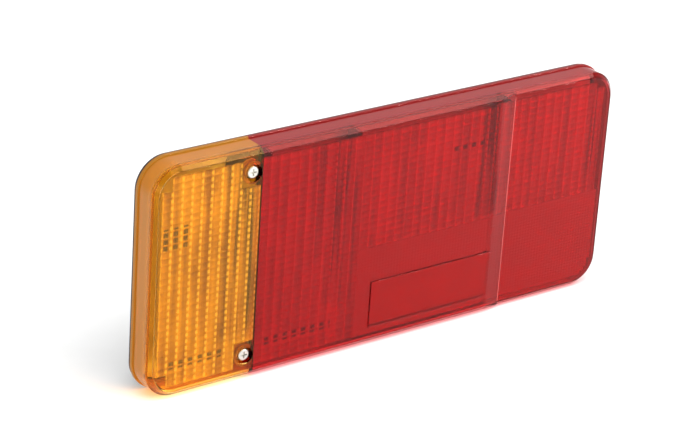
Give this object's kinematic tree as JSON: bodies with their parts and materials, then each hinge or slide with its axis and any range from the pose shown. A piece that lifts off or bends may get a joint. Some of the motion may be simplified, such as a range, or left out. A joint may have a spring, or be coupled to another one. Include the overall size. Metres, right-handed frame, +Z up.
{
  "type": "trailer tail light",
  "caption": "Flat rectangular rear combination lamp: amber and red lens on a black housing with bulbs, sockets, reflectors and rear mounting studs.",
  "frame": {"origin": "centre of the mounting face, midway between the two studs", "axes": "+X towards the red end, -Y out through the lens, +Z up"},
  "size_m": [0.35, 0.0616, 0.15],
  "materials": {
    "black_housing": "matte",
    "amber_plastic": "gloss",
    "red_plastic": "gloss",
    "black_rubber": "matte",
    "zinc_screw": "satin",
    "zinc_stud": "satin",
    "brass": "satin",
    "brass_cap": "satin",
    "white_insulator": "matte",
    "clear_glass": "gloss",
    "filament_wire": "satin",
    "socket_steel": "satin",
    "spring_steel": "satin",
    "silvered_sheet": "gloss"
  },
  "bodies": {
    "base": {"base_housing": "black_housing", "chamber_walls": "black_housing", "lens_seal": "black_rubber", "screw_inserts": "brass", "mounting_studs": "zinc_stud", "cable_grommet": "black_rubber", "terminal_block": "white_insulator", "terminal_screws": "zinc_screw", "earth_strip": "brass", "indicator_socket": "socket_steel", "indicator_contact_spring": "spring_steel", "indicator_reflector": "silvered_sheet", "indicator_feed_strip": "brass", "tail_socket": "socket_steel", "tail_contact_spring": "spring_steel", "tail_reflector": "silvered_sheet", "tail_feed_strip": "brass", "stop_socket": "socket_steel", "stop_contact_spring": "spring_steel", "stop_reflector": "silvered_sheet", "stop_feed_strip": "brass", "fog_socket": "socket_steel", "fog_contact_spring": "spring_steel", "fog_reflector": "silvered_sheet", "fog_feed_strip": "brass"},
    "lens": {"amber_lens": "amber_plastic", "red_lens": "red_plastic", "reflex_insert": "red_plastic"},
    "washer_upper": {"screw_washer_upper": "black_rubber"},
    "screw_upper": {"lens_screw_upper": "zinc_screw"},
    "washer_lower": {"screw_washer_lower": "black_rubber"},
    "screw_lower": {"lens_screw_lower": "zinc_screw"},
    "indicator_plunger": {"indicator_contact_plunger": "brass"},
    "indicator_bulb": {"indicator_bulb_glass": "clear_glass", "indicator_bulb_cap": "brass_cap", "indicator_bulb_filament": "filament_wire"},
    "tail_plunger": {"tail_contact_plunger": "brass"},
    "tail_bulb": {"tail_bulb_glass": "clear_glass", "tail_bulb_cap": "brass_cap", "tail_bulb_filament": "filament_wire"},
    "stop_plunger": {"stop_contact_plunger": "brass"},
    "stop_bulb": {"stop_bulb_glass": "clear_glass", "stop_bulb_cap": "brass_cap", "stop_bulb_filament": "filament_wire"},
    "fog_plunger": {"fog_contact_plunger": "brass"},
    "fog_bulb": {"fog_bulb_glass": "clear_glass", "fog_bulb_cap": "brass_cap", "fog_bulb_filament": "filament_wire"}
  },
  "joints": [
    {"name": "lens_swing", "type": "hinge", "parent": "base", "child": "lens", "pos_m": [0.175, -0.024, 0], "axis": [0, 0, 1], "range_deg": [0, 35]},
    {"name": "screw_upper_rise", "type": "slide", "parent": "lens", "child": "washer_upper", "axis": [0, -1, 0], "range_m": [0, 0.0112]},
    {"name": "screw_upper_turn", "type": "hinge", "parent": "washer_upper", "child": "screw_upper", "pos_m": [-0.1055, -0.036, 0.0594], "axis": [0, -1, 0], "range_deg": [0, 5760]},
    {"name": "screw_lower_rise", "type": "slide", "parent": "lens", "child": "washer_lower", "axis": [0, -1, 0], "range_m": [0, 0.0112]},
    {"name": "screw_lower_turn", "type": "hinge", "parent": "washer_lower", "child": "screw_lower", "pos_m": [-0.1055, -0.036, -0.0594], "axis": [0, -1, 0], "range_deg": [0, 5760]},
    {"name": "indicator_bulb_push", "type": "slide", "parent": "base", "child": "indicator_plunger", "axis": [0, 0, -1], "range_m": [0, 0.002], "stiffness_N_per_m": 1500, "springref_m": -0.003, "deforming": ["indicator_contact_spring"]},
    {"name": "indicator_bulb_turn", "type": "hinge", "parent": "indicator_plunger", "child": "indicator_bulb", "pos_m": [-0.122, -0.021, 0], "axis": [0, 0, 1], "range_deg": [0, 18]},
    {"name": "tail_bulb_push", "type": "slide", "parent": "base", "child": "tail_plunger", "axis": [0, 0, -1], "range_m": [0, 0.002], "stiffness_N_per_m": 1500, "springref_m": -0.003, "deforming": ["tail_contact_spring"]},
    {"name": "tail_bulb_turn", "type": "hinge", "parent": "tail_plunger", "child": "tail_bulb", "pos_m": [-0.05725, -0.021, 0], "axis": [0, 0, 1], "range_deg": [0, 18]},
    {"name": "stop_bulb_push", "type": "slide", "parent": "base", "child": "stop_plunger", "axis": [0, 0, -1], "range_m": [0, 0.002], "stiffness_N_per_m": 1500, "springref_m": -0.003, "deforming": ["stop_contact_spring"]},
    {"name": "stop_bulb_turn", "type": "hinge", "parent": "stop_plunger", "child": "stop_bulb", "pos_m": [0.03275, -0.021, 0], "axis": [0, 0, 1], "range_deg": [0, 18]},
    {"name": "fog_bulb_push", "type": "slide", "parent": "base", "child": "fog_plunger", "axis": [0, 0, -1], "range_m": [0, 0.002], "stiffness_N_per_m": 1500, "springref_m": -0.003, "deforming": ["fog_contact_spring"]},
    {"name": "fog_bulb_turn", "type": "hinge", "parent": "fog_plunger", "child": "fog_bulb", "pos_m": [0.122, -0.021, 0], "axis": [0, 0, 1], "range_deg": [0, 18]}
  ],
  "couplings": [
    {"joint": "screw_upper_turn", "follows": "screw_upper_rise", "rad_per_m": 8975.1},
    {"joint": "screw_lower_turn", "follows": "screw_lower_rise", "rad_per_m": 8975.1},
    {"joint": "indicator_bulb_turn", "follows": "indicator_bulb_push", "rad_per_m": 157.06},
    {"joint": "tail_bulb_turn", "follows": "tail_bulb_push", "rad_per_m": 157.06},
    {"joint": "stop_bulb_turn", "follows": "stop_bulb_push", "rad_per_m": 157.06},
    {"joint": "fog_bulb_turn", "follows": "fog_bulb_push", "rad_per_m": 157.06}
  ]
}
